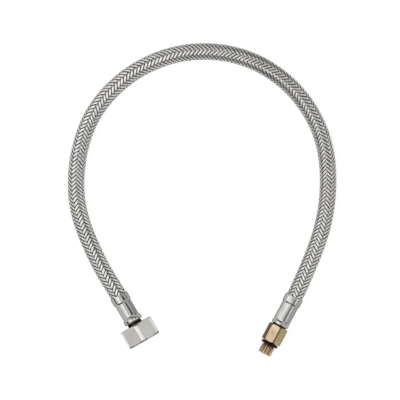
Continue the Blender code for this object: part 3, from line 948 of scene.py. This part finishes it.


# Floor, world and lamps


def add_floor():
    """A wide white floor. What sees or mirrors it sees a glowing one, and all other light a plain one."""
    size = 20.0
    mesh = bpy.data.meshes.new("floor")
    corners = [(-size, -size, 0), (size, -size, 0), (size, size, 0), (-size, size, 0)]
    mesh.from_pydata(corners, [], [(0, 1, 2, 3)])
    floor = bpy.data.objects.new("floor", mesh)
    bpy.context.scene.collection.objects.link(floor)
    n = Nodes("floor")
    n.tree.nodes.remove(n.shader)
    path = n.add("ShaderNodeLightPath")
    seen = path.outputs["Is Camera Ray"]
    for ray in ("Is Glossy Ray", "Is Transmission Ray"):
        either = n.add("ShaderNodeMath", operation="MAXIMUM")
        n.link(seen, either.inputs[0])
        n.link(path.outputs[ray], either.inputs[1])
        seen = either.outputs[0]
    lit = n.add("ShaderNodeBsdfDiffuse")
    lit.inputs["Color"].default_value = (0.88, 0.88, 0.88, 1)
    pale = n.add("ShaderNodeBsdfDiffuse")
    pale.inputs["Color"].default_value = (0.25, 0.25, 0.25, 1)
    glow = n.add("ShaderNodeEmission")
    glow.inputs["Strength"].default_value = 0.86
    backdrop = n.add("ShaderNodeAddShader")
    n.link(pale.outputs[0], backdrop.inputs[0])
    n.link(glow.outputs[0], backdrop.inputs[1])
    mix = n.add("ShaderNodeMixShader")
    n.link(seen, mix.inputs[0])
    n.link(lit.outputs[0], mix.inputs[1])
    n.link(backdrop.outputs[0], mix.inputs[2])
    n.link(mix.outputs[0], n.tree.nodes["Material Output"].inputs["Surface"])
    mesh.materials.append(n.material)


# Patches of the studio round the hose: where they are, seen from it, and how bright. Azimuth 0 is the
# picture's right, 90 its top. The zenith angle, the core's radius and the edge's radius are in degrees.
STUDIO = [
    (168, 36, 12, 24, 1.55),
    (207, 27, 12, 20, 1.45),
    (0, 0, 8, 15, 1.05),
    (31, 22, 6, 11, 1.60),
    (226, 44, 8, 15, 1.10),
    (6, 82, 10, 20, 0.15),
    (36, 61, 10, 19, 0.68),
    (29, 43, 6, 10, 0.03),
    (-25, 33, 6, 12, 0.30),
    (180, 83, 11, 16, 0.05),
    (200, 83, 11, 16, 0.04),
    (220, 83, 11, 16, 0.04),
    (240, 83, 11, 16, 0.05),
]
# Brightness of the room by the height of a direction: 0 is the horizon, 1 is overhead
ROOM_LEVELS = [(0.0, 0.34), (0.24, 0.38), (0.44, 0.52), (0.60, 0.72), (0.80, 0.76), (0.93, 0.56), (1.0, 0.40)]
# The room is brighter at this azimuth and opposite it, and darker between, by this share
BRIGHT_SIDES = 170.0
SIDE_CONTRAST = 0.85


def facing(azimuth, zenith_angle):
    """Direction from the hose. Azimuth 0 is the picture's right, 90 its top."""
    turn, tilt = math.radians(azimuth - PICTURE_TURN), math.radians(zenith_angle)
    return (math.cos(turn) * math.sin(tilt), math.sin(turn) * math.sin(tilt), math.cos(tilt))


def add_world():
    """A grey room, brightest half way up and on two sides, with the patches of STUDIO in it."""
    world = bpy.data.worlds.new("studio")
    bpy.context.scene.world = world
    world.use_nodes = True
    tree = world.node_tree
    tree.nodes.clear()
    add, link = tree.nodes.new, tree.links.new
    direction = add("ShaderNodeTexCoord").outputs["Generated"]
    split = add("ShaderNodeSeparateXYZ")
    link(direction, split.inputs[0])
    turn = add("ShaderNodeMath")
    turn.operation = "ARCTAN2"
    link(split.outputs["Y"], turn.inputs[0])
    link(split.outputs["X"], turn.inputs[1])
    twice = add("ShaderNodeMath")
    twice.operation = "MULTIPLY_ADD"
    twice.inputs[1].default_value = 2.0
    twice.inputs[2].default_value = -2 * math.radians(BRIGHT_SIDES - PICTURE_TURN)
    link(turn.outputs[0], twice.inputs[0])
    sides = add("ShaderNodeMath")
    sides.operation = "COSINE"
    link(twice.outputs[0], sides.inputs[0])
    contrast = add("ShaderNodeMath")
    contrast.operation = "MULTIPLY_ADD"
    contrast.inputs[1].default_value = SIDE_CONTRAST
    contrast.inputs[2].default_value = 1.0
    link(sides.outputs[0], contrast.inputs[0])
    height = add("ShaderNodeValToRGB")
    while len(height.color_ramp.elements) < len(ROOM_LEVELS):
        height.color_ramp.elements.new(0.5)
    for element, (level_height, brightness) in zip(height.color_ramp.elements, ROOM_LEVELS):
        element.position = level_height
        element.color = (brightness, brightness, brightness, 1)
    link(split.outputs["Z"], height.inputs["Fac"])
    room = add("ShaderNodeMath")
    room.operation = "MULTIPLY"
    link(height.outputs["Color"], room.inputs[0])
    link(contrast.outputs[0], room.inputs[1])
    level = room.outputs[0]
    for azimuth, zenith_angle, core, edge, brightness in STUDIO:
        nearness = add("ShaderNodeVectorMath")
        nearness.operation = "DOT_PRODUCT"
        nearness.inputs[1].default_value = facing(azimuth, zenith_angle)
        link(direction, nearness.inputs[0])
        mask = add("ShaderNodeMapRange")
        mask.interpolation_type = "SMOOTHSTEP"
        mask.inputs["From Min"].default_value = math.cos(math.radians(edge))
        mask.inputs["From Max"].default_value = math.cos(math.radians(core))
        link(nearness.outputs["Value"], mask.inputs["Value"])
        mix = add("ShaderNodeMix")
        mix.inputs["B"].default_value = brightness
        link(mask.outputs["Result"], mix.inputs["Factor"])
        link(level, mix.inputs["A"])
        level = mix.outputs["Result"]
    studio = add("ShaderNodeBackground")
    studio.inputs["Color"].default_value = (1, 0.995, 0.985, 1)
    link(level, studio.inputs["Strength"])
    link(studio.outputs[0], add("ShaderNodeOutputWorld").inputs["Surface"])


def add_lamp(name, azimuth, zenith_angle, distance, width, height, power):
    """A soft box that faces the middle of the hose, its directions as in facing and the rest in metres and watts."""
    target = Vector((0.035, 0.076, 0.0))
    out = Vector(facing(azimuth, zenith_angle))
    data = bpy.data.lights.new(name, "AREA")
    data.shape = "RECTANGLE"
    data.size = width
    data.size_y = height
    data.energy = power
    lamp = bpy.data.objects.new(name, data)
    bpy.context.scene.collection.objects.link(lamp)
    lamp.location = target + out * distance
    lamp.rotation_mode = "QUATERNION"
    lamp.rotation_quaternion = (-out).to_track_quat("-Z", "Y")
    lamp.visible_camera = False


add_floor()
add_world()
add_lamp("key", 203, 31, 1.0, 0.48, 0.48, 0.30)
add_lamp("edge", 152, 58, 1.0, 0.20, 0.20, 0.16)
add_lamp("right", 10, 64, 1.0, 0.36, 0.20, 0.18)
add_lamp("top", 100, 14, 1.0, 0.18, 0.16, 0.12)
bpy.context.scene.view_settings.view_transform = "Standard"
